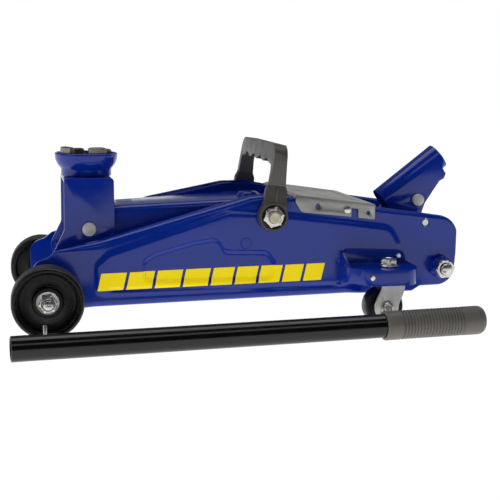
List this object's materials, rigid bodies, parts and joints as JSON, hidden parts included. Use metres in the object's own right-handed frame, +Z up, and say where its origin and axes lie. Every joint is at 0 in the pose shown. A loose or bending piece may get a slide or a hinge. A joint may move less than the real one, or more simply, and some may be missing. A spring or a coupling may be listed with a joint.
{
  "type": "hydraulic trolley jack",
  "caption": "Low hydraulic trolley jack with wheeled frame, lift arm and saddle, handle socket, carry handle and loose two-tone handle bar.",
  "frame": {"origin": "centre of the assembly's box, on the floor", "axes": "+X towards the rear handle socket, +Z up, -Y the side with the loose handle bar"},
  "size_m": [0.394, 0.2696, 0.1517],
  "materials": {
    "blue_paint": "gloss blue enamel",
    "zinc": "bright zinc plate",
    "dark_steel": "dark oiled steel",
    "cover_steel": "light grey zinc sheet",
    "cast_iron": "raw casting",
    "black_wheel": "satin black, worn tread",
    "grey_plastic": "moulded dark grey",
    "black_enamel": "gloss black enamel",
    "rubber": "black rubber"
  },
  "bodies": {
    "frame": {"side_plate_left": "blue_paint", "side_plate_right": "blue_paint", "front_axle": "zinc", "axle_washer_left": "zinc", "axle_nut_left": "zinc", "axle_washer_right": "zinc", "axle_nut_right": "zinc", "rear_tie_rod": "zinc", "rear_lock_nut_left": "blue_paint", "rear_tie_nut_left": "zinc", "rear_lock_nut_right": "blue_paint", "rear_tie_nut_right": "zinc", "caster_bracket_left": "blue_paint", "caster_bolt_left": "zinc", "caster_bracket_right": "blue_paint", "caster_bolt_right": "zinc", "link_stud_left": "blue_paint", "link_stud_right": "blue_paint", "lift_pivot_bolt": "zinc", "pivot_nut_left": "zinc", "pivot_bush_left": "dark_steel", "pivot_nut_right": "zinc", "pivot_bush_right": "dark_steel", "socket_pivot_pin": "zinc", "pump_block": "cast_iron", "reservoir_shell": "blue_paint", "ram_cylinder": "dark_steel", "filler_plug": "rubber", "cover_plate": "cover_steel", "cover_screw_left": "zinc", "cover_screw_right": "zinc", "plunger_spring": "dark_steel"},
    "lift_arm_body": {"lift_arm": "blue_paint", "lever_pin": "dark_steel"},
    "saddle_column": {"saddle_bracket": "blue_paint", "saddle_pin": "zinc", "link_pin": "zinc", "saddle_cup": "blue_paint"},
    "saddle_pad": {"saddle": "dark_steel"},
    "link_left_body": {"radius_link_left": "dark_steel"},
    "link_right_body": {"radius_link_right": "dark_steel"},
    "ram_body": {"ram": "zinc"},
    "socket_body": {"handle_socket": "blue_paint", "pump_pin": "zinc"},
    "roller_body": {"pump_roller": "dark_steel"},
    "plunger_body": {"pump_plunger": "zinc"},
    "valve_body": {"release_valve": "zinc"},
    "carry_handle_body": {"carry_handle": "grey_plastic"},
    "wheel_left_body": {"front_wheel_left": "black_wheel"},
    "wheel_right_body": {"front_wheel_right": "black_wheel"},
    "caster_left_body": {"caster_fork_left": "zinc", "caster_axle_left": "zinc"},
    "caster_right_body": {"caster_fork_right": "zinc", "caster_axle_right": "zinc"},
    "caster_wheel_left_body": {"caster_wheel_left": "black_wheel"},
    "caster_wheel_right_body": {"caster_wheel_right": "black_wheel"},
    "loose_handle": {"handle_bar": "black_enamel", "bar_grip": "grey_plastic", "bar_pin": "zinc"}
  },
  "joints": [
    {"name": "lift_arm_pivot", "type": "hinge", "parent": "frame", "child": "lift_arm_body", "pos_m": [0.01929, 0.03333, 0.0918], "axis": [0, 1, 0], "range_deg": [0, 60]},
    {"name": "saddle_column_level", "type": "hinge", "parent": "lift_arm_body", "child": "saddle_column", "pos_m": [-0.13081, 0.03333, 0.0789], "axis": [0, 1, 0], "range_deg": [-60.5, 0.5]},
    {"name": "saddle_turn", "type": "hinge", "parent": "saddle_column", "child": "saddle_pad", "pos_m": [-0.13071, 0.03333, 0.132], "axis": [0, 0, 1], "continuous": true},
    {"name": "radius_link_left_pivot", "type": "hinge", "parent": "frame", "child": "link_left_body", "pos_m": [-0.00221, -0.01067, 0.0688], "axis": [0, 1, 0], "range_deg": [-0.5, 60.5]},
    {"name": "radius_link_right_pivot", "type": "hinge", "parent": "frame", "child": "link_right_body", "pos_m": [-0.00221, 0.07733, 0.0688], "axis": [0, 1, 0], "range_deg": [-0.5, 60.5]},
    {"name": "ram_stroke", "type": "slide", "parent": "frame", "child": "ram_body", "axis": [-1, 0, 0], "range_m": [0, 0.0375]},
    {"name": "handle_socket_pivot", "type": "hinge", "parent": "frame", "child": "socket_body", "pos_m": [0.15739, 0.03333, 0.0842], "axis": [0, -1, 0], "range_deg": [-20, 35]},
    {"name": "pump_roller_spin", "type": "hinge", "parent": "socket_body", "child": "roller_body", "pos_m": [0.16719, 0.03333, 0.099], "axis": [0, 1, 0], "continuous": true},
    {"name": "pump_plunger_stroke", "type": "slide", "parent": "frame", "child": "plunger_body", "axis": [0, 0, 1], "range_m": [-0.0031, 0.0054], "deforming": ["plunger_spring"]},
    {"name": "release_valve_turn", "type": "hinge", "parent": "frame", "child": "valve_body", "pos_m": [0.17279, 0.04833, 0.057], "axis": [1, 0, 0], "range_deg": [0, 180]},
    {"name": "carry_handle_pivot", "type": "hinge", "parent": "frame", "child": "carry_handle_body", "pos_m": [0.01929, 0.03333, 0.0918], "axis": [0, 1, 0], "range_deg": [-63, 53]},
    {"name": "front_wheel_left_spin", "type": "hinge", "parent": "frame", "child": "wheel_left_body", "pos_m": [-0.16721, -0.05132, 0.0287], "axis": [0, 1, 0], "continuous": true},
    {"name": "front_wheel_right_spin", "type": "hinge", "parent": "frame", "child": "wheel_right_body", "pos_m": [-0.16721, 0.11798, 0.0287], "axis": [0, 1, 0], "continuous": true},
    {"name": "caster_left_swivel", "type": "hinge", "parent": "frame", "child": "caster_left_body", "pos_m": [0.11729, -0.04617, 0.045], "axis": [0, 0, 1], "continuous": true},
    {"name": "caster_wheel_left_spin", "type": "hinge", "parent": "caster_left_body", "child": "caster_wheel_left_body", "pos_m": [0.11279, -0.04617, 0.0167], "axis": [0, 1, 0], "continuous": true},
    {"name": "caster_right_swivel", "type": "hinge", "parent": "frame", "child": "caster_right_body", "pos_m": [0.11729, 0.11283, 0.045], "axis": [0, 0, 1], "continuous": true},
    {"name": "caster_wheel_right_spin", "type": "hinge", "parent": "caster_right_body", "child": "caster_wheel_right_body", "pos_m": [0.11279, 0.11283, 0.0167], "axis": [0, 1, 0], "continuous": true},
    {"name": "loose_handle_lift", "type": "slide", "parent": "frame", "child": "loose_handle", "axis": [0, 0, 1], "range_m": [0, 0.18]}
  ],
  "couplings": [
    {"joint": "saddle_column_level", "follows": "lift_arm_pivot", "ratio": -1},
    {"joint": "radius_link_left_pivot", "follows": "lift_arm_pivot", "ratio": 1},
    {"joint": "radius_link_right_pivot", "follows": "lift_arm_pivot", "ratio": 1},
    {"joint": "ram_stroke", "follows": "lift_arm_pivot", "m_per_rad": 0.035714},
    {"joint": "pump_plunger_stroke", "follows": "handle_socket_pivot", "m_per_rad": 0.0086}
  ]
}
